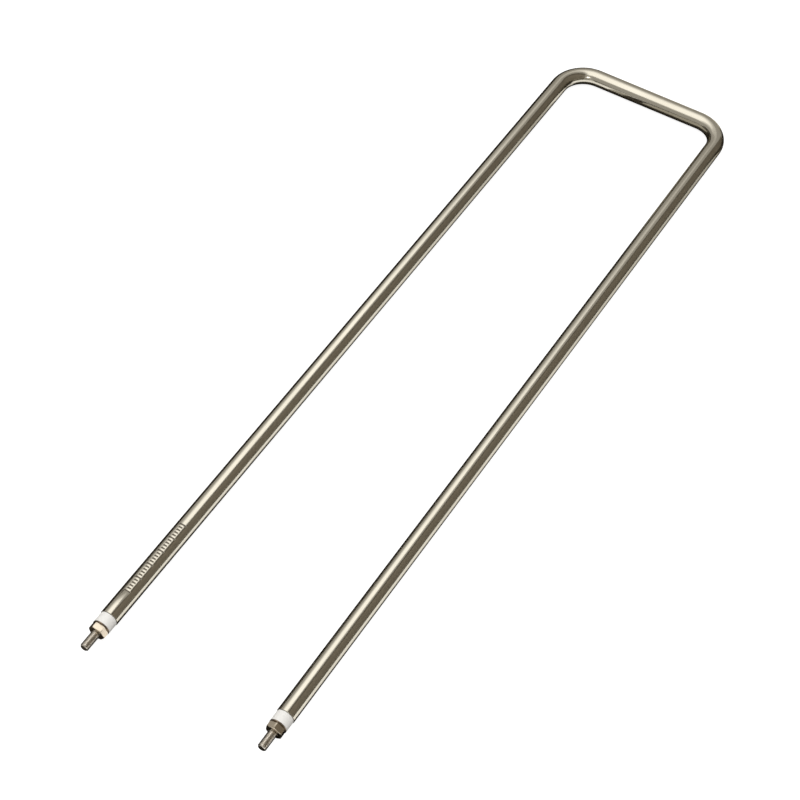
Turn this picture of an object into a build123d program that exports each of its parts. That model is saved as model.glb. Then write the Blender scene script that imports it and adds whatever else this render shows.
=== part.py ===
from build123d import *
import os
from math import radians, tan

# Tubular heating element: a sheathed, mineral-insulated resistance heater bent to a flat U.
# Millimetres. The element lies flat on Z = 0 with its legs along Y and its terminals at -Y.
# The origin is under the middle of the whole element, studs included.

# ---- Sheath: one stainless tube with two bends ----
tube_d = 8.5  # outside diameter
tube_wall = 0.6
sheath_l = 405.0  # cut ends to the outside of the cross run
sheath_w = 96.0  # outside to outside of the two legs
bend_r = 15.0  # centreline radius of both bends

# ---- Terminal pin: steel rod with its outer end thread-rolled ----
thread_d = 4.0
thread_pitch = 0.7
thread_free_l = 8.4  # thread standing clear of the nut
tip_chamfer = 0.45
pin_cold_l = 60.0  # unheated length inside the sheath, up to the coil
pin_grip_l = 12.0  # turned-down inner end that carries the coil's last turns

# ---- Heating coil: a close-wound resistance wire, drawn as the sleeve that its turns fill ----
wire_d = 0.5
coil_d = 4.0
coil_sides = 8  # flats of the sleeve, inside and out
grip_gap = 0.05  # coil bore round the pin's inner end

# ---- End seal and ceramic insulator ----
seal_l = 8.0
collar_l = 5.2  # ceramic showing outside the sheath
collar_step = 0.25  # collar stands in from the sheath's outside by this much
collar_chamfer = 0.35
spigot_l = 4.0  # ceramic inside the sheath
spigot_gap = 0.1  # round the spigot, inside the sheath
pin_gap = 0.1  # round the pin, in the ceramic's hole
fill_gap = 0.02  # left round each filling, so that neighbours meet without sharing volume

# ---- Washer and nut on the stud ----
washer_d = 8.0
washer_t = 0.5
washer_gap = 0.15  # washer hole over the thread's crests
nut_af = 7.0  # across flats
nut_h = 3.2
nut_chamfer_angle = 30.0
nut_face_share = 0.95  # flat ring's diameter as a share of the width across flats
flank_gap = 0.02  # between the engaged threads
nut_flats = {"left": 83.0, "right": 53.0}  # way one flat faces once tight, from +X towards +Z
flat_to_corner = 30.0  # of a hexagon

# ---- Sizes that follow ----
tube_r = tube_d / 2
bore_r = tube_r - tube_wall
# The rod under a rolled thread has the thread's pitch diameter. Where nut and stud engage,
# their interlocking flanks are drawn as plain cylinders on that same diameter.
pin_r = (thread_d - 0.6495 * thread_pitch) / 2
coil_r = coil_d / 2
coil_bore_r = coil_r - wire_d
grip_r = coil_bore_r - grip_gap
nut_face_r = nut_face_share * nut_af / 2
nut_turned_r = 0.6 * nut_af  # turned outline of the nut, just past the hexagon's corners
nut_chamfer_h = (nut_turned_r - nut_face_r) * tan(radians(nut_chamfer_angle))
nut_bore_r = pin_r + flank_gap

# Stack of pieces outside the sheath's cut ends, and the element's overall length
collar_face = collar_l
washer_face = collar_face + washer_t
nut_face = washer_face + nut_h
stud_face = nut_face + thread_free_l
overall_l = stud_face + sheath_l

# Where the tube's centreline runs
axis_z = tube_r
leg_x = (sheath_w - tube_d) / 2
end_y = stud_face - overall_l / 2
cross_y = overall_l / 2 - tube_r
fill_y = end_y + spigot_l + seal_l
coil_y = end_y + pin_cold_l
coil_core_y = coil_y + pin_grip_l

OUTWARD = (0, -1, 0)
LEGS = {"left": -leg_x, "right": leg_x}


def centreline(start_y):
    """The U's centreline from leg to leg, with both of its ends at start_y."""
    corners = [
        (-leg_x, start_y, axis_z),
        (-leg_x, cross_y, axis_z),
        (leg_x, cross_y, axis_z),
        (leg_x, start_y, axis_z),
    ]
    with BuildLine() as line:
        FilletPolyline(*corners, radius=bend_r)
    return line.wire()


def square_to(line):
    """Plane at a centreline's start, facing along it."""
    return Plane(origin=line @ 0, x_dir=(1, 0, 0), z_dir=line % 0)


def cut_end(x):
    """Plane on a leg's cut end, facing out of the sheath."""
    return Plane(origin=(x, end_y, axis_z), x_dir=(1, 0, 0), z_dir=OUTWARD)


def turning_plane(x):
    """Plane through a leg's axis: X is the radius and Y runs out of the sheath from its cut end."""
    return Plane(origin=(x, end_y, axis_z), x_dir=(1, 0, 0), z_dir=(0, 0, -1))


def leg_axis(x):
    """Axis of a leg, pointing out of the sheath from its cut end."""
    return Axis(origin=(x, end_y, axis_z), direction=OUTWARD)


sheath_line = centreline(end_y)
fill_line = centreline(fill_y)
coil_line = centreline(coil_y)
coil_core_line = centreline(coil_core_y)

os.makedirs("parts", exist_ok=True)

# Sheath: the tube swept round the U, cut square at both ends
with BuildPart() as sheath:
    with BuildSketch(square_to(sheath_line)):
        Circle(tube_r)
        Circle(bore_r, mode=Mode.SUBTRACT)
    sweep(path=sheath_line)
sheath.part.label = "sheath"
export_step(sheath.part, "parts/sheath.step")

# Heating coil: its last turns sit on the inner ends of both pins
with BuildPart() as heating_coil:
    with BuildSketch(square_to(coil_line)):
        RegularPolygon(coil_r, coil_sides, major_radius=False)
        RegularPolygon(coil_bore_r, coil_sides, major_radius=False, mode=Mode.SUBTRACT)
    sweep(path=coil_line)
heating_coil.part.label = "heating_coil"
export_step(heating_coil.part, "parts/heating_coil.step")

# Insulation core: magnesia powder, rolled solid round the pins and the coil and inside the coil
with BuildPart() as insulation_core:
    with BuildSketch(square_to(fill_line)):
        Circle(bore_r - fill_gap)
    sweep(path=fill_line)
    for x in LEGS.values():
        with BuildSketch(cut_end(x)):
            Circle(pin_r + fill_gap)
        extrude(amount=-pin_cold_l, mode=Mode.SUBTRACT)
    with BuildSketch(square_to(coil_line)):
        RegularPolygon(coil_r + fill_gap, coil_sides, major_radius=False)
    sweep(path=coil_line, mode=Mode.SUBTRACT)
    with BuildSketch(square_to(coil_core_line)):
        RegularPolygon(coil_bore_r - fill_gap, coil_sides, major_radius=False)
    sweep(path=coil_core_line)
insulation_core.part.label = "insulation_core"
export_step(insulation_core.part, "parts/insulation_core.step")

for side, x in LEGS.items():
    # Terminal pin: threaded stud outside, plain rod in the sheath, turned-down end in the coil
    with BuildPart() as terminal_pin:
        with BuildSketch(turning_plane(x)):
            with BuildLine():
                Polyline(
                    (0, stud_face),
                    (thread_d / 2 - tip_chamfer, stud_face),
                    (thread_d / 2, stud_face - tip_chamfer),
                    (thread_d / 2, nut_face),
                    (pin_r, nut_face),
                    (pin_r, -pin_cold_l),
                    (grip_r, -pin_cold_l),
                    (grip_r, -pin_cold_l - pin_grip_l),
                    (0, -pin_cold_l - pin_grip_l),
                    close=True,
                )
            make_face()
        revolve(axis=leg_axis(x))
    terminal_pin.part.label = f"terminal_pin_{side}"
    export_step(terminal_pin.part, f"parts/terminal_pin_{side}.step")

    # End seal: silicone cast between the pin and the sheath, behind the ceramic's spigot
    with BuildPart() as end_seal:
        with BuildSketch(cut_end(x).offset(-spigot_l)):
            Circle(bore_r - fill_gap)
            Circle(pin_r + fill_gap, mode=Mode.SUBTRACT)
        extrude(amount=-seal_l)
    end_seal.part.label = f"end_seal_{side}"
    export_step(end_seal.part, f"parts/end_seal_{side}.step")

    # Ceramic insulator: a collar that seats on the cut end and a spigot that enters it
    with BuildPart() as ceramic_insulator:
        with BuildSketch(cut_end(x)):
            Circle(tube_r - collar_step)
        extrude(amount=collar_l)
        chamfer(ceramic_insulator.edges().group_by(Axis.Y)[0], collar_chamfer)
        with BuildSketch(cut_end(x)):
            Circle(bore_r - spigot_gap)
        extrude(amount=-spigot_l)
        with BuildSketch(cut_end(x).offset(collar_l)):
            Circle(pin_r + pin_gap)
        extrude(amount=-(collar_l + spigot_l), mode=Mode.SUBTRACT)
    ceramic_insulator.part.label = f"ceramic_insulator_{side}"
    export_step(ceramic_insulator.part, f"parts/ceramic_insulator_{side}.step")

    # Washer: a small plain washer between the ceramic and the nut
    with BuildPart() as washer:
        with BuildSketch(cut_end(x).offset(collar_face)):
            Circle(washer_d / 2)
            Circle(thread_d / 2 + washer_gap, mode=Mode.SUBTRACT)
        extrude(amount=washer_t)
    washer.part.label = f"washer_{side}"
    export_step(washer.part, f"parts/washer_{side}.step")

    # Terminal nut: a hexagon cut by a turned outline, which chamfers the corners of both faces
    with BuildPart() as terminal_nut:
        with BuildSketch(cut_end(x).offset(washer_face)):
            corner_turn = nut_flats[side] + flat_to_corner
            RegularPolygon(nut_af / 2, 6, major_radius=False, rotation=corner_turn)
        extrude(amount=nut_h)
        with BuildSketch(turning_plane(x)):
            with BuildLine():
                Polyline(
                    (nut_bore_r, washer_face),
                    (nut_face_r, washer_face),
                    (nut_turned_r, washer_face + nut_chamfer_h),
                    (nut_turned_r, nut_face - nut_chamfer_h),
                    (nut_face_r, nut_face),
                    (nut_bore_r, nut_face),
                    close=True,
                )
            make_face()
        revolve(axis=leg_axis(x), mode=Mode.INTERSECT)
    terminal_nut.part.label = f"terminal_nut_{side}"
    export_step(terminal_nut.part, f"parts/terminal_nut_{side}.step")
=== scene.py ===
"""Looks of a tubular heating element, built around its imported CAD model.

The element is a stainless tube bent to a flat U. At each end a ceramic insulator, a washer and a
hexagon nut sit on a threaded stud. Lengths are in metres, in the CAD model's own frame.
"""

import logging
import math
from dataclasses import dataclass, field
from enum import Enum
from typing import Any

import bmesh
import bpy
import numpy as np
from bpy.types import Material, Node, NodeSocket, NodeTree, Object
from mathutils import Euler, Matrix, Vector

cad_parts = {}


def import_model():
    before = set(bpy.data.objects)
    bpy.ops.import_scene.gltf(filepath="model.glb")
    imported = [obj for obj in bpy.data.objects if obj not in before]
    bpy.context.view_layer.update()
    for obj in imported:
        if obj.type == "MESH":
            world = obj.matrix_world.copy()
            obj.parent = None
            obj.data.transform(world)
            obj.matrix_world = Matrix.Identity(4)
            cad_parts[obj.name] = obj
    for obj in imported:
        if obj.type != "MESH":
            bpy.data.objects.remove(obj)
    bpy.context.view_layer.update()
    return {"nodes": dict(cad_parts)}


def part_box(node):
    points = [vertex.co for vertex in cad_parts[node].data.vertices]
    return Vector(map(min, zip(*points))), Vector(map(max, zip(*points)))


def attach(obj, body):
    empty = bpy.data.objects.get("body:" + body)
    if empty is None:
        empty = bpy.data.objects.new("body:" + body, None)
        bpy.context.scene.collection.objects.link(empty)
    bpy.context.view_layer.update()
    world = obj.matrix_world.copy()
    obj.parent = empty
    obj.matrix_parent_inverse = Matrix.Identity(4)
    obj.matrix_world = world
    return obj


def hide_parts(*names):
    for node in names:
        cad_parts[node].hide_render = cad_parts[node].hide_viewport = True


MM = 0.001
ORIGIN = (0.0, 0.0, 0.0)
# Points nearer to each other than this are one point
WELD = 0.001 * MM
# Points nearer to a cutting plane than this lie on it
CUT_SLACK = 0.0001 * MM
# Nearly all of a noise texture's values lie between these two
NOISE_LOW, NOISE_HIGH = 0.3, 0.7
LOG = logging.getLogger("heating_element")


class Side(Enum):
    """Leg of the U that a terminal belongs to."""

    LEFT = "left"
    RIGHT = "right"

    def node(self, stem: str) -> str:
        """Name of this side's CAD node, from the stem that both sides share."""
        return f"{stem}_{self.value}"


# ---- workshop ----


def srgb(code: str) -> tuple[float, float, float, float]:
    """Turns an sRGB hex colour into a linear one.

    Args:
        code: Six hex digits, such as "c8c2b4".

    Returns:
        Linear red, green, blue and an alpha of 1.
    """
    parts = [int(code[i : i + 2], 16) / 255 for i in (0, 2, 4)]
    linear = [c / 12.92 if c <= 0.04045 else ((c + 0.055) / 1.055) ** 2.4 for c in parts]
    return (*linear, 1.0)


def add_node(
    tree: NodeTree,
    kind: str,
    settings: dict[str, Any] | None = None,
    links: dict[str | int, Any] | None = None,
) -> Node:
    """Adds a node with its settings and links.

    Args:
        tree: Node tree that gets the node.
        kind: Type name of the node.
        settings: Properties of the node.
        links: Input sockets, each with a value or with the output socket that feeds it.

    Returns:
        The new node.
    """
    node = tree.nodes.new(kind)
    for name, value in (settings or {}).items():
        setattr(node, name, value)
    for name, value in (links or {}).items():
        if isinstance(value, NodeSocket):
            tree.links.new(value, node.inputs[name])
        else:
            node.inputs[name].default_value = value
    return node


def blank_material(name: str) -> Material:
    """Makes a material with no nodes in it yet.

    Args:
        name: Name of the material.

    Returns:
        The material.
    """
    material = bpy.data.materials.new(name)
    material.use_nodes = True
    material.node_tree.nodes.clear()
    return material


def activate(piece: Object) -> None:
    """Selects one piece alone and makes it the active one.

    Args:
        piece: Object to select.
    """
    bpy.ops.object.select_all(action="DESELECT")
    piece.select_set(True)
    bpy.context.view_layer.objects.active = piece


def edit(piece: Object, select: str = "SELECT") -> None:
    """Opens a piece in edit mode.

    Args:
        piece: Mesh object to edit.
        select: "SELECT" to start with all of it selected, "DESELECT" to start with none.
    """
    activate(piece)
    bpy.ops.object.mode_set(mode="EDIT")
    bpy.ops.mesh.select_mode(type="VERT")
    bpy.ops.mesh.select_all(action=select)


def leave_edit() -> None:
    """Goes back to object mode."""
    bpy.ops.object.mode_set(mode="OBJECT")


def weld() -> None:
    """Merges the points that coincide in the piece that is in edit mode."""
    bpy.ops.mesh.select_all(action="SELECT")
    bpy.ops.mesh.remove_doubles(threshold=WELD)


def settle(name: str) -> Object:
    """Names the primitive that was just added and moves its place into its mesh.

    Args:
        name: Name for the object and its mesh.

    Returns:
        The object, unturned and unscaled at the origin.
    """
    piece = bpy.context.active_object
    piece.name = piece.data.name = name
    bpy.ops.object.transform_apply(location=True, rotation=True, scale=True)
    return piece


def apply_modifier(piece: Object, kind: str, **settings: Any) -> None:
    """Adds a modifier to a piece and applies it.

    Args:
        piece: Object to change.
        kind: Type of the modifier, such as "BEVEL".
        **settings: Properties of the modifier.
    """
    activate(piece)
    modifier = piece.modifiers.new(kind.lower(), kind)
    for name, value in settings.items():
        setattr(modifier, name, value)
    bpy.ops.object.modifier_apply(modifier=modifier.name)


def break_edges(piece: Object, width: float, segments: int = 3, over: float = 60.0) -> None:
    """Rounds a piece's sharp edges.

    Args:
        piece: Object to change.
        width: Width of the rounding.
        segments: Faces across the rounding.
        over: Angle in degrees past which an edge is sharp.
    """
    apply_modifier(
        piece,
        "BEVEL",
        width=width,
        segments=segments,
        limit_method="ANGLE",
        angle_limit=math.radians(over),
    )


def clean(piece: Object) -> None:
    """Takes the slivers that a cut left out of a piece.

    Args:
        piece: Object to change.
    """
    edit(piece)
    bpy.ops.mesh.dissolve_degenerate(threshold=2 * WELD)
    leave_edit()


def smooth(piece: Object, over: float = 35.0) -> None:
    """Shades a piece smooth, except over edges sharper than an angle in degrees."""
    activate(piece)
    bpy.ops.object.shade_smooth_by_angle(angle=math.radians(over))


def select_face_at(piece: Object, y: float, radius: float | None = None) -> None:
    """Selects the faces of a piece in edit mode that lie square across the Y axis.

    Args:
        piece: Piece in edit mode.
        y: Where the faces are.
        radius: Distance from the Y axis that their corners are moved to, if any.
    """
    bpy.ops.mesh.select_all(action="DESELECT")
    bpy.ops.mesh.select_mode(type="FACE")
    mesh = bmesh.from_edit_mesh(piece.data)
    for face in mesh.faces:
        if all(abs(corner.co.y - y) < WELD for corner in face.verts):
            face.select_set(True)
            for corner in face.verts if radius else ():
                scale = radius / math.hypot(corner.co.x, corner.co.z)
                corner.co.x *= scale
                corner.co.z *= scale
    bmesh.update_edit_mesh(piece.data)


def draw_line(name: str, points: list[tuple[float, float]]) -> Object:
    """Draws a line of a turned piece, as radius and place along the Y axis.

    Args:
        name: Name of the new object.
        points: Radius and Y of each point, in metres.

    Returns:
        The object, left in edit mode with its last point selected.
    """
    places = [(radius, y, 0.0) for radius, y in points]
    bpy.ops.object.select_all(action="DESELECT")
    bpy.ops.mesh.primitive_plane_add(size=MM, location=places[0])
    piece = settle(name)
    edit(piece)
    bpy.ops.mesh.merge(type="CENTER")
    for before, after in zip(places, places[1:]):
        step = tuple(b - a for a, b in zip(before, after))
        bpy.ops.mesh.extrude_vertices_move(TRANSFORM_OT_translate={"value": step})
    return piece


def turn(name: str, points: list[tuple[float, float]], steps: int = 72) -> Object:
    """Turns a closed outline round the Y axis.

    Args:
        name: Name of the new object.
        points: Radius and Y of each corner of the outline, in metres.
        steps: Faces round the piece.

    Returns:
        The turned solid, in object mode.
    """
    piece = draw_line(name, [*points, points[0]])
    weld()
    bpy.ops.mesh.spin(steps=steps, angle=math.tau, center=ORIGIN, axis=(0, 1, 0))
    weld()
    bpy.ops.mesh.normals_make_consistent(inside=False)
    leave_edit()
    return piece


def copy_to(piece: Object, name: str, place: Matrix) -> Object:
    """Copies a piece with its own mesh and moves the copy's mesh.

    Args:
        piece: Piece that was modelled on the Y axis.
        name: Name of the copy.
        place: Where the copy goes.

    Returns:
        The copy, at the origin with its place in its mesh.
    """
    copy = piece.copy()
    copy.data = piece.data.copy()
    copy.name = copy.data.name = name
    bpy.context.scene.collection.objects.link(copy)
    activate(copy)
    copy.matrix_world = place
    bpy.ops.object.transform_apply(location=True, rotation=True, scale=True)
    return copy


def report(piece: Object) -> None:
    """Writes a finished piece's name and face count to the log."""
    LOG.info("%s: %d faces", piece.name, len(piece.data.polygons))


# ---- finishes ----


@dataclass(frozen=True)
class Finish:
    """A real material and how its surface was made. Each kind draws its own nodes.

    Attributes:
        name: Name of the material.
        light: The paler of its two tones, as sRGB hex.
        dark: The darker of its two tones.
        roughness: Its mean roughness.
    """

    name: str
    light: str
    dark: str
    roughness: float

    def nodes(self, tree: NodeTree, shader: Node) -> None:
        """Draws the nodes of the finish and feeds the shader."""
        raise NotImplementedError

    def tone(self, tree: NodeTree, pattern: NodeSocket) -> NodeSocket:
        """Drifts between the finish's two tones.

        Args:
            tree: The material's node tree.
            pattern: Noise that the tone follows.

        Returns:
            The colour.
        """
        links = {0: pattern, 6: srgb(self.light), 7: srgb(self.dark)}
        return add_node(tree, "ShaderNodeMix", {"data_type": "RGBA"}, links).outputs[2]

    def gloss(self, tree: NodeTree, pattern: NodeSocket, below: float, above: float) -> NodeSocket:
        """Lets the roughness swing about its mean.

        Args:
            tree: The material's node tree.
            pattern: Noise that the roughness follows.
            below: How far the roughness goes below its mean.
            above: How far it goes above.

        Returns:
            The roughness.
        """
        links = {
            "Value": pattern,
            "From Min": NOISE_LOW,
            "From Max": NOISE_HIGH,
            "To Min": self.roughness - below,
            "To Max": self.roughness + above,
        }
        return add_node(tree, "ShaderNodeMapRange", links=links).outputs[0]

    def material(self) -> Material:
        """Gives the finish's material and makes it when it is first asked for.

        Returns:
            The material.
        """
        made = bpy.data.materials.get(self.name)
        if not made:
            made = blank_material(self.name)
            tree = made.node_tree
            shader = add_node(tree, "ShaderNodeBsdfPrincipled")
            add_node(tree, "ShaderNodeOutputMaterial", links={"Surface": shader.outputs["BSDF"]})
            self.nodes(tree, shader)
        return made

    def dress(self, piece: Object) -> None:
        """Puts the finish on all of a piece."""
        piece.data.materials.clear()
        piece.data.materials.append(self.material())


@dataclass(frozen=True)
class PolishedStainless(Finish):
    """Austenitic stainless tube, bright annealed and polished by belts that run round it.

    It reflects like a slightly blurred mirror with a warm grey tint. Belt marks spread each
    reflection along the tube, and faint clouds are left where the finishing was uneven. Where the
    surface lies under the polished skin it turns a dull brown-grey and rougher. In the pressed
    marks this is a plain darker tone. Along the rounded cut ends, next to the insulator, it is
    painted shade. Belt marks and draw lines are drawn coarser than real ones, so that they show.

    Attributes:
        sheen: Tint of the reflection at the tube's edges, which keeps them from going white.
        scale: Colour under the polished skin. It is painted shade along the rounded cut ends and a
        plain darker tone in the pressed marks. It starts at the depth sunk_from and is solid at
        sunk_to.
        skin_r: Radius of the polished skin.
        belt_mark, belt_run: Width of a belt mark and how far it runs round the tube.
        line_w, line_run: Width of a draw line and how far it runs along the tube.
        line_share: Height of the draw lines, as a share of the belt marks' height.
        relief: Height of the belt marks. The share relief_strength of it shows.
        gloss_swing: How far the roughness goes below and above its mean in the clouds.
    """

    name: str = "stainless_tube_belt_polished"
    light: str = "d3cec0"
    dark: str = "c5bfb0"
    roughness: float = 0.17
    sheen: str = "89847c"
    # Dull brown-grey under the skin: painted shade along the rounded cut ends, a plain darker tone
    # in the pressed marks
    scale: str = "6a6359"
    sunk_roughness: float = 0.42
    skin_r: float = 4.25 * MM
    sunk_from: float = 0.02 * MM
    sunk_to: float = 0.16 * MM
    belt_mark: float = 0.45 * MM
    belt_run: float = 9 * MM
    line_w: float = 0.5 * MM
    line_run: float = 60 * MM
    line_share: float = 0.6
    cloud: float = 22 * MM
    relief: float = 0.01 * MM
    relief_strength: float = 0.25
    gloss_swing: tuple[float, float] = (0.03, 0.04)

    def nodes(self, tree: NodeTree, shader: Node) -> None:
        """Draws the finish on the straightened tube, whose length runs along Y.

        Args:
            tree: The material's node tree.
            shader: The shader to feed.
        """
        attribute = add_node(tree, "ShaderNodeAttribute", {"attribute_name": "straight"})
        straight = attribute.outputs["Vector"]
        round_it = (1 / self.belt_run, 1 / self.belt_mark, 1 / self.belt_run)
        along_it = (1 / self.line_w, 1 / self.line_run, 1 / self.line_w)
        heights = []
        for stretch, detail in ((round_it, 3.0), (along_it, 2.0)):
            links = {"Vector": straight, "Scale": stretch}
            place = add_node(tree, "ShaderNodeMapping", links=links).outputs[0]
            links = {"Vector": place, "Scale": 1.0, "Detail": detail}
            heights.append(add_node(tree, "ShaderNodeTexNoise", links=links).outputs["Fac"])
        belt_marks, draw_lines = heights
        links = {"Vector": straight, "Scale": 1 / self.cloud, "Detail": 4.0}
        clouds = add_node(tree, "ShaderNodeTexNoise", links=links).outputs["Fac"]
        polished = self.tone(tree, clouds)
        glossy = self.gloss(tree, clouds, *self.gloss_swing)
        sunk = self.sunk(tree, straight)
        # Under the skin the colour goes to the dull brown-grey: painted shade along the rounded cut
        # ends, a plain darker tone in the pressed marks
        links = {0: sunk, 6: polished, 7: srgb(self.scale)}
        tint = add_node(tree, "ShaderNodeMix", {"data_type": "RGBA"}, links)
        links = {0: sunk, 2: glossy, 3: self.sunk_roughness}
        gloss = add_node(tree, "ShaderNodeMix", {"data_type": "FLOAT"}, links)
        links = {0: draw_lines, 1: self.line_share, 2: belt_marks}
        height = add_node(tree, "ShaderNodeMath", {"operation": "MULTIPLY_ADD"}, links)
        relief = {"Strength": self.relief_strength, "Distance": self.relief}
        bump = add_node(tree, "ShaderNodeBump", links={"Height": height.outputs[0], **relief})
        shader.inputs["Metallic"].default_value = 1.0
        shader.inputs["Specular Tint"].default_value = srgb(self.sheen)
        tree.links.new(tint.outputs[2], shader.inputs["Base Color"])
        tree.links.new(gloss.outputs[0], shader.inputs["Roughness"])
        tree.links.new(bump.outputs[0], shader.inputs["Normal"])

    def sunk(self, tree: NodeTree, straight: NodeSocket) -> NodeSocket:
        """Works out where the surface lies under the polished skin.

        Args:
            tree: The material's node tree.
            straight: Place on the straightened tube, from its axis.

        Returns:
            A factor, 0 on the skin and 1 where only the dark under-skin colour shows. That colour
            is painted shade at the cut ends.
        """
        links = {"Vector": straight, "Scale": (1.0, 0.0, 1.0)}
        across = add_node(tree, "ShaderNodeMapping", links=links)
        links = {0: across.outputs[0]}
        radius = add_node(tree, "ShaderNodeVectorMath", {"operation": "LENGTH"}, links)
        links = {
            "Value": radius.outputs["Value"],
            "From Min": self.skin_r - self.sunk_from,
            "From Max": self.skin_r - self.sunk_to,
        }
        return add_node(tree, "ShaderNodeMapRange", links=links).outputs[0]


@dataclass(frozen=True)
class Grained(Finish):
    """A surface with a fine grain, on a body whose tone drifts.

    Attributes:
        grain: Width of one grain.
        depth: Height of the grain.
        drift: Width of the drift in tone, in grains.
        detail: Fineness of the grain. The drift has one step less.
        swing: How far the roughness goes either side of its mean.
        strength: Share of the grain's height that shows.
    """

    grain: float
    depth: float
    drift: float = 8.0
    detail: float = 4.0
    swing: float = 0.06
    strength: float = 0.4

    def nodes(self, tree: NodeTree, shader: Node) -> None:
        """Draws a grain that varies the gloss and the surface, and the drift in tone.

        Args:
            tree: The material's node tree.
            shader: The shader to feed.
        """
        place = add_node(tree, "ShaderNodeTexCoord").outputs["Object"]
        links = {"Vector": place, "Scale": 1 / self.grain, "Detail": self.detail}
        grain = add_node(tree, "ShaderNodeTexNoise", links=links).outputs["Fac"]
        width = self.drift * self.grain
        links = {"Vector": place, "Scale": 1 / width, "Detail": self.detail - 1}
        drift = add_node(tree, "ShaderNodeTexNoise", links=links).outputs["Fac"]
        gloss = self.gloss(tree, grain, self.swing, self.swing)
        links = {"Height": grain, "Strength": self.strength, "Distance": self.depth}
        bump = add_node(tree, "ShaderNodeBump", links=links)
        tree.links.new(self.tone(tree, drift), shader.inputs["Base Color"])
        tree.links.new(gloss, shader.inputs["Roughness"])
        tree.links.new(bump.outputs[0], shader.inputs["Normal"])


@dataclass(frozen=True)
class GrainedMetal(Grained):
    """A metal part with a grain from rolling, pressing or plating."""

    def nodes(self, tree: NodeTree, shader: Node) -> None:
        """Draws the grain and makes the body metal."""
        super().nodes(tree, shader)
        shader.inputs["Metallic"].default_value = 1.0


@dataclass(frozen=True)
class Mineral(Grained):
    """A non-metal with a granular surface, such as steatite, magnesia or silicone."""

    drift: float = 14.0
    detail: float = 3.0
    swing: float = 0.08
    strength: float = 0.5
    ior: float = 1.55

    def nodes(self, tree: NodeTree, shader: Node) -> None:
        """Draws the grain and gives the body its index of refraction."""
        super().nodes(tree, shader)
        shader.inputs["IOR"].default_value = self.ior


# Each finish has its name, two tones, roughness, grain width and grain height. Grain and grit are
# drawn several times coarser than real ones, so that they show.

# Thread-rolled mild steel: burnished crests, duller grey flanks
ROLLED_STEEL = GrainedMetal(
    "mild_steel_thread_rolled", "e4ded4", "c8c2b7", 0.28, 0.25 * MM, 0.01 * MM
)
# Nickel-plated nut: warm bright flats with a soft gloss
PLATED_NUT = GrainedMetal("steel_nut_nickel_plated", "dbcfbd", "cabda8", 0.2, 0.4 * MM, 0.006 * MM)
# Punched steel washer: dull brown-grey, with a rim that hardly shines
PUNCHED_WASHER = GrainedMetal("steel_washer_punched", "9c8c7a", "7d6e5e", 0.36, 0.3 * MM, 0.01 * MM)
# Resistance wire, iron-chromium-aluminium: a dark, nearly matte firing oxide
FIRED_WIRE = GrainedMetal("resistance_wire_oxidised", "6f6861", "4e4843", 0.45, 0.2 * MM, 0.01 * MM)
# Steatite, pressed and fired without a glaze: matte off-white with a fine grit
STEATITE = Mineral(
    "steatite_fired_unglazed", "e9e8e5", "dfdedb", 0.55, 0.12 * MM, 0.015 * MM, ior=1.6
)
# Silicone rubber, cast: pale grey and faintly glossy
SILICONE = Mineral("silicone_rubber_cast", "c9c9c6", "bcbcb8", 0.42, 0.4 * MM, 0.01 * MM, ior=1.41)
# Magnesia powder, rolled hard in the sheath: chalky off-white
MAGNESIA = Mineral(
    "magnesia_powder_compacted", "ddd8ce", "c9c2b6", 0.85, 0.2 * MM, 0.04 * MM, ior=1.7
)


# ---- sheath ----


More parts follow.
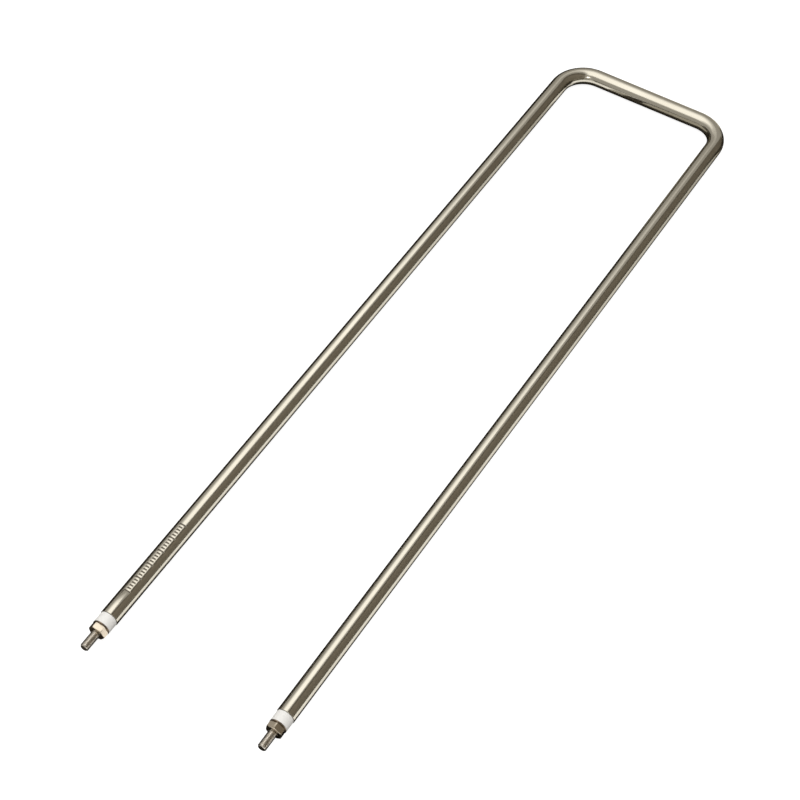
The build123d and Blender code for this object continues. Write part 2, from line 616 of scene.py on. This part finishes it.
@dataclass
class Sheath:
    """The stainless tube, bent twice and cut square at both ends.

    Attributes:
        bend_r: Radius of the bends, at the centreline.
        end_break: Width of the rounding at the cut ends.
        sides: Faces round the tube.
        bend_steps: Faces along a bend.
        first_mark: Distance from the left cut end to the first graduation.
        mark_slope: Width of a graduation's sloping sides.
        long_every: A longer graduation comes once in this many.
        long_mark, short_mark: Angle in degrees that a graduation reaches from the top, each way.
    """

    outer_d: float = 8.5 * MM
    wall: float = 0.6 * MM
    bend_r: float = 15.0 * MM
    end_break: float = 0.15 * MM
    sides: int = 72
    bend_steps: int = 30
    first_mark: float = 13.0 * MM
    mark_pitch: float = 1.6 * MM
    marks: int = 26
    long_every: int = 5
    mark_w: float = 0.8 * MM
    mark_slope: float = 0.38 * MM
    mark_depth: float = 0.26 * MM
    long_mark: float = 25.0
    short_mark: float = 15.0
    finish: Finish = field(default_factory=PolishedStainless)

    def __post_init__(self) -> None:
        """Reads where the tube's centreline runs from the CAD sheath."""
        low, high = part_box("sheath")
        self.axis_z = self.outer_d / 2
        self.leg_x = high.x - self.outer_d / 2
        self.end_y = low.y
        self.cross_y = high.y - self.outer_d / 2
        self.bend_y = self.cross_y - self.bend_r
        self.leg = self.bend_y - self.end_y
        self.half_cross = self.leg_x - self.bend_r

    def build(self) -> Object:
        """Models the tube: a circle drawn out along the U, then given its wall.

        Returns:
            The finished tube.
        """
        bpy.ops.object.select_all(action="DESELECT")
        bpy.ops.mesh.primitive_circle_add(
            vertices=self.sides,
            radius=self.outer_d / 2,
            location=(-self.leg_x, self.end_y, self.axis_z),
            rotation=(math.pi / 2, 0, 0),
        )
        tube = settle("sheath_tube")
        edit(tube)
        self.draw_out((0, self.leg, 0))
        self.bend(-self.half_cross)
        self.draw_out((2 * self.half_cross, 0, 0))
        self.bend(self.half_cross)
        self.draw_out((0, -self.leg, 0))
        weld()
        bpy.ops.mesh.normals_make_consistent(inside=False)
        leave_edit()
        apply_modifier(tube, "SOLIDIFY", thickness=self.wall, offset=-1.0, use_rim=True)
        break_edges(tube, self.end_break)
        self.press_marks(tube)
        smooth(tube, over=40)
        self.lay_out(tube)
        self.finish.dress(tube)
        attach(tube, "root")
        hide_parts("sheath")
        report(tube)
        return tube

    def draw_out(self, step: tuple[float, float, float]) -> None:
        """Draws the selected end of the tube out along a straight."""
        bpy.ops.mesh.extrude_edges_move(TRANSFORM_OT_translate={"value": step})

    def bend(self, centre_x: float) -> None:
        """Spins the selected end of the tube a quarter turn, clockwise from above.

        Args:
            centre_x: Where the bend's centre is across the U.
        """
        bpy.ops.mesh.spin(
            steps=self.bend_steps,
            angle=math.pi / 2,
            center=(centre_x, self.bend_y, self.axis_z),
            axis=(0, 0, 1),
        )

    def press_marks(self, tube: Object) -> None:
        """Presses a row of plain graduations across the top of the left leg.

        Args:
            tube: The tube, with its wall.
        """
        edit(tube, "DESELECT")
        bpy.ops.mesh.select_mode(type="FACE")
        first = self.end_y + self.first_mark
        middles = [first + i * self.mark_pitch for i in range(self.marks)]
        runs = [(y - self.mark_w / 2, y + self.mark_w / 2) for y in middles]
        for edge in (edge for run in runs for edge in run):
            self.select_top(tube, (self.end_y, self.bend_y), self.long_mark)
            bpy.ops.mesh.bisect(plane_co=(0, edge, 0), plane_no=(0, 1, 0), threshold=CUT_SLACK)
        for i, run in enumerate(runs):
            self.select_top(tube, run, self.short_mark if i % self.long_every else self.long_mark)
            bpy.ops.mesh.inset(thickness=self.mark_slope, depth=-self.mark_depth)
        leave_edit()

    def select_top(self, tube: Object, run: tuple[float, float], reach: float) -> None:
        """Selects the outer faces on top of the left leg, between two places along it.

        Args:
            tube: The tube, in edit mode.
            run: Y where the faces' middles start and end.
            reach: Angle in degrees from the top to the last of the faces, either way round.
        """
        bpy.ops.mesh.select_all(action="DESELECT")
        mesh = bmesh.from_edit_mesh(tube.data)
        skin_r = self.outer_d / 2 - self.wall / 10
        for face in mesh.faces:
            middle = face.calc_center_bounds()
            out, up = middle.x + self.leg_x, middle.z - self.axis_z
            on_top = up > 0 and abs(math.degrees(math.atan2(out, up))) < reach
            if on_top and math.hypot(out, up) > skin_r and run[0] < middle.y < run[1]:
                face.select_set(True)
        bmesh.update_edit_mesh(tube.data)

    def lay_out(self, tube: Object) -> None:
        """Stores where each point would be on the straightened tube, for marks that follow it.

        Args:
            tube: The tube. Its attribute "straight" gets the distance out of the U, the length
                from the left end and the height, each from the tube's axis.
        """
        mesh = tube.data
        at = np.zeros(len(mesh.vertices) * 3)
        mesh.vertices.foreach_get("co", at)
        x, y, z = at.reshape(-1, 3).T
        arc = self.bend_r * math.pi / 2
        total = 2 * (self.leg + arc + self.half_cross)
        past_x = np.maximum(np.abs(x) - self.half_cross, 0.0)
        past_y = np.maximum(y - self.bend_y, 0.0)
        on_leg = y <= self.bend_y
        on_cross = ~on_leg & (past_x == 0)
        turned = np.arctan2(past_y, past_x)
        out = np.where(on_leg, np.abs(x) - self.leg_x, np.hypot(past_x, past_y) - self.bend_r)
        out = np.where(on_cross, y - self.cross_y, out)
        run = np.where(on_leg, y - self.end_y, self.leg + self.bend_r * turned)
        run = np.where(on_cross, self.leg + arc + (self.half_cross - np.abs(x)), run)
        run = np.where(x < 0, run, total - run)
        straight = np.stack([out, run, z - self.axis_z], axis=1)
        layer = mesh.attributes.new("straight", "FLOAT_VECTOR", "POINT")
        layer.data.foreach_set("vector", straight.ravel())


# ---- terminals ----


@dataclass
class Terminal:
    """What stands on each cut end: the ceramic, the washer, the nut and the threaded stud.

    Each piece is modelled once round the Y axis and copied to both legs. Lengths that end in _l
    run along the leg, radii end in _r, and a break is the width of an edge's rounding.

    Attributes:
        nut_af: Width of the nut across its flats.
        nut_face, nut_reach: Radius of the flat ring on the nut's faces and of the chamfer's outer
            end, past the corners, as shares of that width.
        nut_mouth: Width of the countersink at the nut's hole.
        nut_flats: Way one flat of each nut faces once tight, in degrees from +X towards +Z.
        free_l: Length of the stud outside the nut.
        pitch: Distance between the thread's crests.
        thread_depth, thread_crest: Its depth and half a crest's width, as shares of the pitch.
        flank: Slope of the thread's flanks.
        engaged: Share of the nut's height that the drawn thread enters.
        cold_l, grip_l: Length of the rod inside the sheath and of the grip that the coil sits on.
    """

    collar_l: float = 5.2 * MM
    collar_r: float = 4.0 * MM
    collar_break: float = 0.2 * MM
    spigot_l: float = 4.0 * MM
    spigot_r: float = 3.55 * MM
    hole_r: float = 1.87 * MM
    washer_l: float = 0.5 * MM
    washer_r: float = 4.0 * MM
    washer_hole_r: float = 2.15 * MM
    washer_break: float = 0.08 * MM
    nut_l: float = 3.2 * MM
    nut_af: float = 7.0 * MM
    nut_hole_r: float = 2.03 * MM
    nut_face: float = 0.475
    nut_reach: float = 0.62
    nut_chamfer: float = math.radians(30)
    nut_mouth: float = 0.22 * MM
    nut_break: float = 0.07 * MM
    nut_flats: tuple[float, float] = (83.0, 53.0)
    free_l: float = 8.4 * MM
    thread_r: float = 2.0 * MM
    pitch: float = 0.7 * MM
    thread_depth: float = 0.55
    thread_crest: float = 0.09
    flank: float = math.radians(30)
    engaged: float = 0.3
    thread_steps: int = 48
    tip_chamfer: float = 0.45 * MM
    shank_r: float = 1.7727 * MM
    cold_l: float = 60.0 * MM
    grip_r: float = 1.45 * MM
    grip_l: float = 12.0 * MM

    def __post_init__(self) -> None:
        """Reads where the legs are from the CAD model and stacks the pieces' outer faces."""
        self.end_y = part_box("sheath")[0].y
        low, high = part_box("terminal_pin_right")
        self.leg_x = (low.x + high.x) / 2
        self.axis_z = (low.z + high.z) / 2
        self.washer_face = self.collar_l + self.washer_l
        self.nut_top = self.washer_face + self.nut_l
        self.stud_top = self.nut_top + self.free_l

    def at(self, out: float) -> float:
        """Y of a point that stands out from the cut end by a length."""
        return self.end_y - out

    def place(self, side: Side, turned: float = 0.0) -> Matrix:
        """Where a piece modelled round the Y axis goes on a leg.

        Args:
            side: Which leg.
            turned: Angle that the piece is turned by round its axis, from +Z towards +X.

        Returns:
            The transform from the Y axis to the leg.
        """
        x = self.leg_x if side is Side.RIGHT else -self.leg_x
        return Matrix.Translation((x, 0, self.axis_z)) @ Matrix.Rotation(turned, 4, "Y")

    def build(self) -> None:
        """Models the four pieces and sets them on both legs."""
        masters = {
            "ceramic_insulator": (self.ceramic(), STEATITE, "insulator_ceramic"),
            "washer": (self.washer(), PUNCHED_WASHER, "washer_steel"),
            "terminal_nut": (self.nut(), PLATED_NUT, "nut_steel"),
            "terminal_pin": (self.stud(), ROLLED_STEEL, "terminal_steel"),
        }
        for stem, (master, finish, slot) in masters.items():
            for side, flat in zip(Side, self.nut_flats):
                turned = -math.radians(flat) if stem == "terminal_nut" else 0.0
                piece = copy_to(master, f"dressed_{side.node(stem)}", self.place(side, turned))
                finish.dress(piece)
                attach(piece, "root")
                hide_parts(side.node(stem))
                report(piece)
            bpy.data.objects.remove(master)

    def ceramic(self) -> Object:
        """Turns the insulator: a collar outside the sheath and a spigot inside it.

        Returns:
            The insulator, on the Y axis.
        """
        top, seat, foot = self.at(self.collar_l), self.at(0), self.at(-self.spigot_l)
        outline = [
            (self.hole_r, top),
            (self.collar_r, top),
            (self.collar_r, seat),
            (self.spigot_r, seat),
            (self.spigot_r, foot),
            (self.hole_r, foot),
        ]
        piece = turn("ceramic", outline)
        break_edges(piece, self.collar_break, segments=4)
        smooth(piece)
        return piece

    def washer(self) -> Object:
        """Turns the washer and rounds its punched edges.

        Returns:
            The washer, on the Y axis.
        """
        near, far = self.at(self.collar_l), self.at(self.washer_face)
        hole, rim = self.washer_hole_r, self.washer_r
        piece = turn("washer", [(hole, near), (rim, near), (rim, far), (hole, far)])
        break_edges(piece, self.washer_break)
        smooth(piece)
        return piece

    def nut(self) -> Object:
        """Cuts the nut: a hexagon bar, turned to a chamfer on both faces and drilled.

        Returns:
            The nut, on the Y axis.
        """
        near, far = self.at(self.washer_face), self.at(self.nut_top)
        bpy.ops.object.select_all(action="DESELECT")
        bpy.ops.mesh.primitive_cylinder_add(
            vertices=6,
            radius=self.nut_af / math.sqrt(3),
            depth=self.nut_l,
            location=(0, (near + far) / 2, 0),
            rotation=(math.pi / 2, 0, 0),
        )
        piece = settle("nut")
        reach, flat = self.nut_reach * self.nut_af, self.nut_face * self.nut_af
        drop = (reach - flat) * math.tan(self.nut_chamfer)
        hole, mouth = self.nut_hole_r, self.nut_mouth
        outline = [
            (hole, near - mouth),
            (hole + mouth, near),
            (flat, near),
            (reach, near - drop),
            (reach, far + drop),
            (flat, far),
            (hole + mouth, far),
            (hole, far + mouth),
        ]
        cutter = turn("nut_turning", outline, steps=96)
        apply_modifier(piece, "BOOLEAN", operation="INTERSECT", solver="EXACT", object=cutter)
        bpy.data.objects.remove(cutter)
        break_edges(piece, self.nut_break, segments=2, over=20)
        clean(piece)
        smooth(piece, over=25)
        return piece

    def stud(self) -> Object:
        """Rolls the thread and draws the plain rod and the coil's grip out of its inner end.

        Returns:
            The stud with its rod, on the Y axis.
        """
        tip = self.at(self.stud_top)
        shoulder = self.at(self.washer_face + self.engaged * self.nut_l)
        depth, crest = self.thread_depth * self.pitch, self.thread_crest * self.pitch
        root_r = self.thread_r - depth
        slope = depth * math.tan(self.flank)
        tooth = [
            (self.thread_r, 0.0),
            (self.thread_r, crest),
            (root_r, crest + slope),
            (root_r, self.pitch - crest - slope),
            (self.thread_r, self.pitch - crest),
            (self.thread_r, self.pitch),
        ]
        # The thread starts outside the tip and runs past the shoulder, and both ends are cut
        start = tip - 1.5 * self.pitch
        turns = math.ceil((shoulder - tip) / self.pitch) + 3
        piece = draw_line("stud", [(r, start + y) for r, y in tooth])
        leave_edit()
        apply_modifier(
            piece,
            "SCREW",
            axis="Y",
            angle=math.tau,
            screw_offset=self.pitch,
            iterations=turns,
            steps=self.thread_steps,
            render_steps=self.thread_steps,
            use_merge_vertices=True,
            merge_threshold=WELD,
        )
        edit(piece)
        weld()
        bpy.ops.mesh.normals_make_consistent(inside=False)
        for y, facing in ((tip, (0, -1, 0)), (shoulder, (0, 1, 0))):
            bpy.ops.mesh.select_all(action="SELECT")
            bpy.ops.mesh.bisect(
                plane_co=(0, y, 0),
                plane_no=facing,
                use_fill=True,
                clear_outer=True,
                threshold=CUT_SLACK,
            )
        self.draw_rod(piece, shoulder)
        leave_edit()
        self.chamfer_tip(piece, tip)
        clean(piece)
        smooth(piece, over=30)
        return piece

    def draw_rod(self, piece: Object, shoulder: float) -> None:
        """Draws the plain rod and the coil's grip out of the thread's inner face.

        Args:
            piece: The stud, in edit mode.
            shoulder: Y of the thread's inner face.
        """
        grip_y = self.at(-self.cold_l)
        stations = [
            (self.shank_r, shoulder + self.pitch / 2),
            (self.shank_r, grip_y),
            (self.grip_r, grip_y + (self.shank_r - self.grip_r)),
            (self.grip_r, self.at(-self.cold_l - self.grip_l)),
        ]
        for radius, y in stations:
            select_face_at(piece, shoulder)
            step = (0, y - shoulder, 0)
            bpy.ops.mesh.extrude_region_move(TRANSFORM_OT_translate={"value": step})
            select_face_at(piece, y, radius)
            shoulder = y

    def chamfer_tip(self, piece: Object, tip: float) -> None:
        """Turns the stud's tip down to a cone, thread and all.

        Args:
            piece: The stud.
            tip: Y of its end face.
        """
        for vertex in piece.data.vertices:
            back = vertex.co.y - tip
            radius = math.hypot(vertex.co.x, vertex.co.z)
            most = self.thread_r - self.tip_chamfer + max(back, 0.0)
            if radius > most and back < self.tip_chamfer:
                vertex.co.x *= most / radius
                vertex.co.z *= most / radius


# ---- inside ----


@dataclass
class HeatingCore:
    """What the sheath hides, kept as the CAD model has it: the powder, the coil and the seals."""

    finishes: dict[str, Finish] = field(
        default_factory=lambda: {
            "insulation_core": MAGNESIA,
            "heating_coil": FIRED_WIRE,
            "end_seal_left": SILICONE,
            "end_seal_right": SILICONE,
        }
    )

    def dress(self, nodes: dict[str, Object]) -> None:
        """Gives each hidden CAD node its finish.

        Args:
            nodes: The CAD nodes by name.
        """
        for name, finish in self.finishes.items():
            finish.dress(nodes[name])
            report(nodes[name])


# ---- studio ----


@dataclass(frozen=True)
class Softbox:
    """A level softbox over the element.

    Attributes:
        name: Name of the lamp.
        low: Its corner with the lowest X and Y, before it is turned.
        high: Its corner with the highest X and Y, before it is turned.
        brightness: What a perfect mirror shows of it, where 1 is white.
        turned: Angle in degrees that it is turned by round the origin, seen from above.
        height: How far it hangs above the floor.
        seen: Whether the metal reflects it. A fill lamp stays out of reflections.
    """

    name: str
    low: tuple[float, float]
    high: tuple[float, float]
    brightness: float
    turned: float = 0.0
    height: float = 1.0
    seen: bool = True

    def hang(self) -> None:
        """Adds the lamp, facing down."""
        (x0, y0), (x1, y1) = self.low, self.high
        light = bpy.data.lights.new(self.name, "AREA")
        light.shape = "RECTANGLE"
        light.size, light.size_y = x1 - x0, y1 - y0
        light.energy = self.brightness * math.pi * light.size * light.size_y
        lamp = bpy.data.objects.new(self.name, light)
        middle = Vector(((x0 + x1) / 2, (y0 + y1) / 2, self.height))
        lamp.rotation_euler.z = math.radians(self.turned)
        lamp.location = Matrix.Rotation(math.radians(self.turned), 3, "Z") @ middle
        lamp.visible_glossy = self.seen
        bpy.context.scene.collection.objects.link(lamp)


@dataclass(frozen=True)
class Card:
    """A flat sheet of paper, put where the metal reflects it.

    The camera doesn't see it, and it keeps no light off the element or the floor. Only the metal's
    reflections show it, so what it gives them is painted reflection.

    Attributes:
        name: Name of the card.
        low: Its lowest corner.
        high: Its highest corner. Either its width or its height is zero.
        colour: Its colour, as sRGB hex.
        fade: Y from which it starts to show and Y from which it is solid, if it is graded.
    """

    name: str
    low: tuple[float, float, float]
    high: tuple[float, float, float]
    colour: str
    fade: tuple[float, float] | None = None

    def stand(self) -> None:
        """Adds the card as part of the stage."""
        low, high = Vector(self.low), Vector(self.high)
        size = high - low
        upright = size.x == 0
        bpy.ops.object.select_all(action="DESELECT")
        bpy.ops.mesh.primitive_plane_add(
            size=1.0, location=(low + high) / 2, rotation=(0, math.pi / 2 if upright else 0, 0)
        )
        bpy.context.active_object.scale = (size.z if upright else size.x, size.y, 1)
        piece = settle(self.name)
        piece.data.materials.append(self.paper())
        # Only reflections show the card: it is a painted reflection
        piece.visible_camera = False
        piece.visible_diffuse = piece.visible_shadow = piece.visible_transmission = False

    def paper(self) -> Material:
        """Makes the card's matte paper, which goes clear where the card fades out.

        Returns:
            The material.
        """
        material = blank_material(self.name + "_paper")
        tree = material.node_tree
        paper = add_node(tree, "ShaderNodeBsdfDiffuse", links={"Color": srgb(self.colour)})
        if self.fade:
            place = add_node(tree, "ShaderNodeTexCoord").outputs["Object"]
            y = add_node(tree, "ShaderNodeSeparateXYZ", links={0: place}).outputs["Y"]
            links = {"Value": y, "From Min": self.fade[0], "From Max": self.fade[1]}
            solid = add_node(tree, "ShaderNodeMapRange", links=links)
            clear = add_node(tree, "ShaderNodeBsdfTransparent")
            links = {0: solid.outputs[0], 1: clear.outputs[0], 2: paper.outputs[0]}
            paper = add_node(tree, "ShaderNodeMixShader", links=links)
        add_node(tree, "ShaderNodeOutputMaterial", links={"Surface": paper.outputs[0]})
        return material


@dataclass
class CardSet:
    """The cards that a polished tube on white paper needs.

    Only the metal's reflections show the cards, so what they give it is painted reflection. A tall
    card at the right gives the tubes their dark half. Strips laid on the floor give them dark
    edges, as painted shade that stands for the floor's shade under and beside the tube. The strips
    leave a slot at the right of each leg, which the metal shows as a thin bright line. Shade cards
    darken these slots towards the bends. Distances run from the centreline of the leg or cross run
    that a card serves.

    Attributes:
        dark, darker, half: Colours of most strips, of the one that the right leg's edge reflects
            and of those that the cross run's underside reflects.
        shade: Colour of the cards that dim the slots.
        side: Colour of the tall card, which stands at side_x from side_y and is side_h high.
        wall_x: X of the low card at the left, which is wall_h high.
        room_y: Y where both of them end.
        layers: Heights of the strips over the floor, lowest first.
        near, far: How far the strips go beyond the cut ends and beyond the cross run.
        slot, slot_end: From each leg to its slot and to the end of the slot's shade.
        left_edge, right_edge: From each leg to the end of the strip that narrows its slot.
        open_end: From the right leg to the strip beyond its slot.
        graded: From the left leg to the start of the graded strip.
        fence: From the left leg to the fence that hides its slot from the right leg.
        darker_w: From the start of the darker strip to the right leg.
        corner: From the left leg to the strip in the left bend.
        inner: From the strip inside the right bend to the right leg.
        corner_back, half_back, cross_back: From where the strip in the left bend, the half-dark
            strip and the strip under the cross run start, to the cross run.
        cross_past: How far the last of these goes past the cross run.
        shade_back: From the end of the left slot's shade to the cross run.
        fades: Y from which each graded card starts to show, and Y from which it is solid.
    """

    dark: str = "3a3630"
    darker: str = "25221e"
    half: str = "a8a59d"
    shade: str = "75736c"
    side: str = "918a7f"
    side_x: float = 0.5
    side_y: float = -0.6
    side_h: float = 2.1
    wall_x: float = -0.6
    wall_h: float = 0.16
    room_y: float = 1.6
    layers: tuple[float, float, float] = (0.05 * MM, 0.1 * MM, 0.2 * MM)
    near: float = 45 * MM
    far: float = 400 * MM
    slot: float = 7 * MM
    left_edge: float = 9.4 * MM
    right_edge: float = 9 * MM
    slot_end: float = 30 * MM
    open_end: float = 52 * MM
    graded: float = 28 * MM
    fence: float = 40 * MM
    fence_h: float = 4 * MM
    darker_w: float = 45 * MM
    corner: float = 21 * MM
    corner_back: float = 37 * MM
    inner: float = 8 * MM
    half_back: float = 70 * MM
    cross_back: float = 9 * MM
    cross_past: float = 3 * MM
    shade_back: float = 22 * MM
    fades: dict[str, tuple[float, float]] = field(
        default_factory=lambda: {
            "strip_right_graded": (-0.14, 0.12),
            "slot_shade_left": (0.015, 0.33),
            "slot_shade_right": (0.0, 0.36),
            "strip_left_graded": (-0.12, 0.08),
            "slot_edge_left": (0.08, -0.17),
            "slot_edge_right": (0.06, -0.19),
        }
    )

    def stand(self) -> None:
        """Adds all of the cards."""
        for card in self.cards():
            card.stand()

    def cards(self) -> list[Card]:
        """Works out the cards from where the CAD sheath runs.

        Returns:
            The cards.
        """
        low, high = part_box("sheath")
        tube_r = (high.z - low.z) / 2
        left, right, cross = low.x + tube_r, high.x - tube_r, high.y - tube_r
        near, far = low.y - self.near, cross + self.far
        half_y, dark_y = cross - self.half_back, cross - self.cross_back
        fence, darker, inner = left + self.fence, right - self.darker_w, right - self.inner
        left_slot, right_slot = left + self.slot, right + self.slot
        left_end, right_end = left + self.slot_end, right + self.slot_end
        wall, side, open_end = self.wall_x, self.side_x, right + self.open_end
        corner, corner_y = left + self.corner, cross - self.corner_back
        cross_end, shade_y = cross + self.cross_past, cross - self.shade_back
        bottom, middle, top = self.layers
        dark, half, shade = self.dark, self.half, self.shade
        tall = (side, self.room_y, self.side_h)
        # Upright cards that only the metal reflects: painted reflection of dark surroundings
        upright = [
            Card("side_card", (side, self.side_y, 0.0), tall, self.side),
            Card("low_card", (wall, near, 0.0), (wall, self.room_y, self.wall_h), dark),
            Card("slot_fence", (fence, near, 0.0), (fence, dark_y, self.fence_h), dark),
        ]
        # Floor strips that only the metal reflects: painted shade at the tube's edges and
        # underside, with bright slots between
        # Name, X from and to, Y from and to, height and colour
        strips = [
            ("strip_left", wall, left_slot, near, far, bottom, dark),
            ("strip_middle", fence, darker, near, half_y, bottom, dark),
            ("strip_near_right", darker, right_slot, near, half_y, bottom, self.darker),
            ("strip_half", left_end, inner, half_y, dark_y, bottom, half),
            ("strip_inner", inner, right_slot, half_y, cross, bottom, dark),
            ("strip_cross", left, right, dark_y, cross_end, bottom, dark),
            ("strip_right", open_end, side, near, far, bottom, dark),
            ("strip_right_graded", right_end, open_end, near, far, bottom, dark),
            ("slot_shade_left", left_slot, left_end, near, shade_y, middle, shade),
            ("slot_shade_right", right_slot, right_end, near, far, middle, shade),
            ("strip_left_graded", left + self.graded, fence, near, dark_y, top, dark),
            ("slot_edge_left", left_slot, left + self.left_edge, near, cross, top, dark),
            ("slot_edge_right", right_slot, right + self.right_edge, near, cross, top, dark),
            ("strip_corner", corner, left_end, corner_y, dark_y, top, half),
            ("strip_back", right, side, dark_y, far, top, dark),
        ]
        laid = [
            Card(name, (x0, y0, z), (x1, y1, z), colour, self.fades.get(name))
            for name, x0, x1, y0, y1, z, colour in strips
        ]
        return upright + laid


@dataclass
class Studio:
    """A pale floor, softboxes overhead, dark cards that shape the reflections, and the camera.

    Attributes:
        floor_glow: Brightness that the floor has of its own, to the camera and in reflections.
        floor_r: Radius of the floor.
        softboxes: The lamps. Softboxes at different heights add up in a reflection, so the
            highlight is brightest in its middle and falls off in steps.
        lens, film: Focal length of the camera and width of its film, in millimetres.
        eye: Where the camera is.
        aim: How it is turned round X, Y and Z, in degrees.
    """

    floor_colour: str = "a0a09f"
    floor_glow: float = 0.85
    floor_r: float = 4.0
    room_colour: str = "b4b1ac"
    softboxes: tuple[Softbox, ...] = (
        Softbox("softbox_heart", (-0.58, -0.42), (0.06, 0.52), 0.24, turned=17, height=0.96),
        Softbox("softbox_core", (-0.58, -0.42), (0.07, 0.74), 0.24, turned=17, height=0.98),
        Softbox("softbox_skirt", (-0.84, -0.50), (0.07, 0.90), 0.38, turned=16, height=1.00),
        Softbox("softbox_edge", (-1.18, -0.60), (0.09, 1.30), 0.30, turned=15, height=1.02),
        Softbox("window", (0.20, -1.28), (0.50, -0.88), 7.0, height=0.6),
        Softbox("fill", (-1.3, -0.9), (0.9, 0.9), 1.15, seen=False),
    )
    lens: float = 94.66
    film: float = 36.0
    near_clip: float = 10 * MM
    eye: tuple[float, float, float] = (299.63 * MM, -546.93 * MM, 737.16 * MM)
    aim: tuple[float, float, float] = (39.252, -1.014, 31.607)

    def build(self) -> None:
        """Sets up the floor, the cards, the lamps, the room and the camera."""
        self.lay_floor()
        CardSet().stand()
        for softbox in self.softboxes:
            softbox.hang()
        self.paint_room()
        self.set_camera()

    def lay_floor(self) -> None:
        """Lays a pale floor that reads as white and keeps the element's shadow."""
        bpy.ops.object.select_all(action="DESELECT")
        bpy.ops.mesh.primitive_circle_add(
            vertices=96, radius=self.floor_r, fill_type="NGON", location=ORIGIN
        )
        floor = settle("floor")
        material = blank_material("floor_paper_matte")
        tree = material.node_tree
        paper = add_node(tree, "ShaderNodeBsdfDiffuse", links={"Color": srgb(self.floor_colour)})
        path = add_node(tree, "ShaderNodeLightPath").outputs
        seen = path["Is Camera Ray"]
        for kind in ("Is Glossy Ray", "Is Transmission Ray"):
            settings = {"operation": "ADD", "use_clamp": True}
            seen = add_node(tree, "ShaderNodeMath", settings, {0: seen, 1: path[kind]}).outputs[0]
        links = {0: seen, 1: self.floor_glow}
        strength = add_node(tree, "ShaderNodeMath", {"operation": "MULTIPLY"}, links)
        glow = add_node(tree, "ShaderNodeEmission", links={"Strength": strength.outputs[0]})
        both = add_node(
            tree, "ShaderNodeAddShader", links={0: paper.outputs[0], 1: glow.outputs[0]}
        )
        add_node(tree, "ShaderNodeOutputMaterial", links={"Surface": both.outputs[0]})
        floor.data.materials.append(material)

    def paint_room(self) -> None:
        """Paints the room a plain warm grey."""
        world = bpy.data.worlds.new("room")
        world.use_nodes = True
        world.node_tree.nodes["Background"].inputs["Color"].default_value = srgb(self.room_colour)
        bpy.context.scene.world = world

    def set_camera(self) -> None:
        """Puts the camera where it sees the element lie from lower left to upper right."""
        data = bpy.data.cameras.new("camera")
        data.lens, data.sensor_width, data.clip_start = self.lens, self.film, self.near_clip
        camera = bpy.data.objects.new("camera", data)
        camera.location = self.eye
        camera.rotation_euler = Euler([math.radians(angle) for angle in self.aim])
        bpy.context.scene.collection.objects.link(camera)
        bpy.context.scene.camera = camera
        bpy.context.scene.view_settings.view_transform = "Standard"


def main() -> None:
    """Builds the element's sub-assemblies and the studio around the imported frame."""
    logging.basicConfig(level=logging.INFO, format="%(name)s %(message)s")
    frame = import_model()
    Sheath().build()
    Terminal().build()
    HeatingCore().dress(frame["nodes"])
    Studio().build()


if __name__ == "__main__":
    main()
